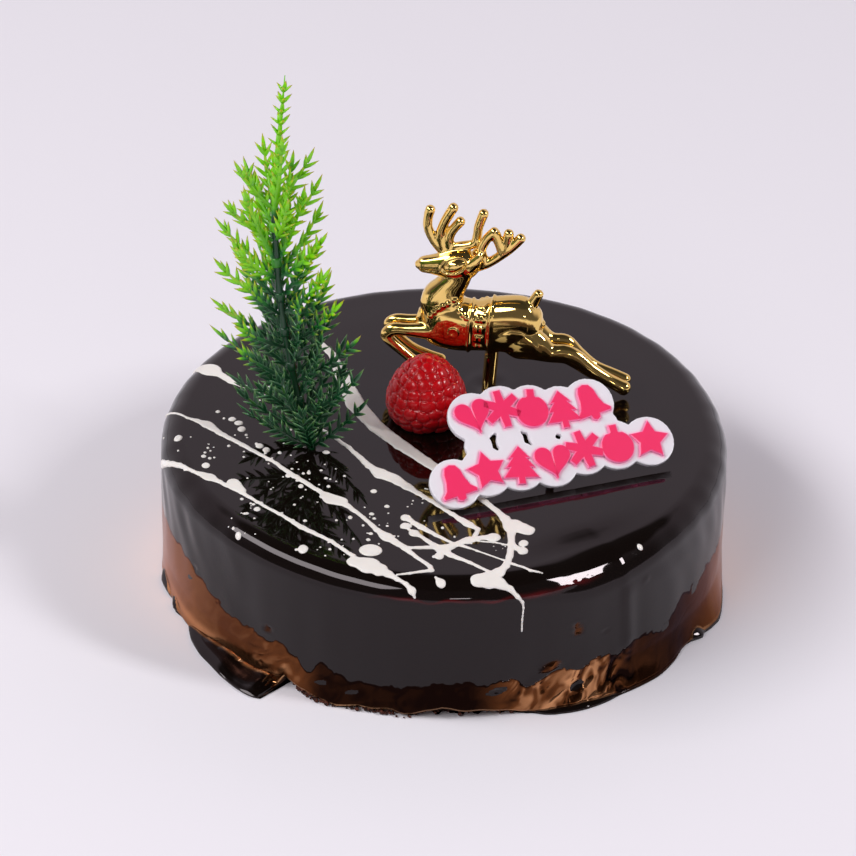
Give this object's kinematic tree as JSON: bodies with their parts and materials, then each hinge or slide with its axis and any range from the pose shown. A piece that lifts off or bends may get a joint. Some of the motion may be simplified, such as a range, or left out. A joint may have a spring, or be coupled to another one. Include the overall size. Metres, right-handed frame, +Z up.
{
  "type": "chocolate truffle cake",
  "caption": "Round festive chocolate cake under dark mirror glaze with white drizzle, topped with a plastic fir tree, a gilt reindeer on a post, a raspberry and a plaque.",
  "frame": {"origin": "centre of the cake's flat underside, the point that the wall's circle is centred on", "axes": "+Z up; -Y towards the front, where the camera stood; +X to the right, so the fir tree stands on the -X side"},
  "size_m": [0.1652, 0.1666, 0.167],
  "materials": {
    "glaze": "dark chocolate mirror glaze, poured, wet gloss",
    "fir_stem": "moulded polyethylene, satin, dark green",
    "fir_dark": "moulded polyethylene, satin, dark green",
    "fir_mid": "moulded polyethylene, satin, leaf green",
    "fir_light": "moulded polyethylene, satin, lime green",
    "gilt": "vacuum-metallised gold on moulded plastic, polished",
    "berry": "fresh raspberry skin, moist, half gloss",
    "plaque": "moulded white plastic with pink painted motifs, satin"
  },
  "bodies": {
    "root": {"cake": "glaze", "tree_stem": "fir_stem", "tree_tier_1": "fir_dark", "tree_tier_2": "fir_dark", "tree_tier_3": "fir_dark", "tree_tier_4": "fir_mid", "tree_tier_5": "fir_mid", "tree_tier_6": "fir_mid", "tree_tier_7": "fir_light", "tree_tier_8": "fir_light", "tree_tip": "fir_light", "reindeer": "gilt", "raspberry": "berry", "plaque": "plaque"}
  },
  "joints": []
}
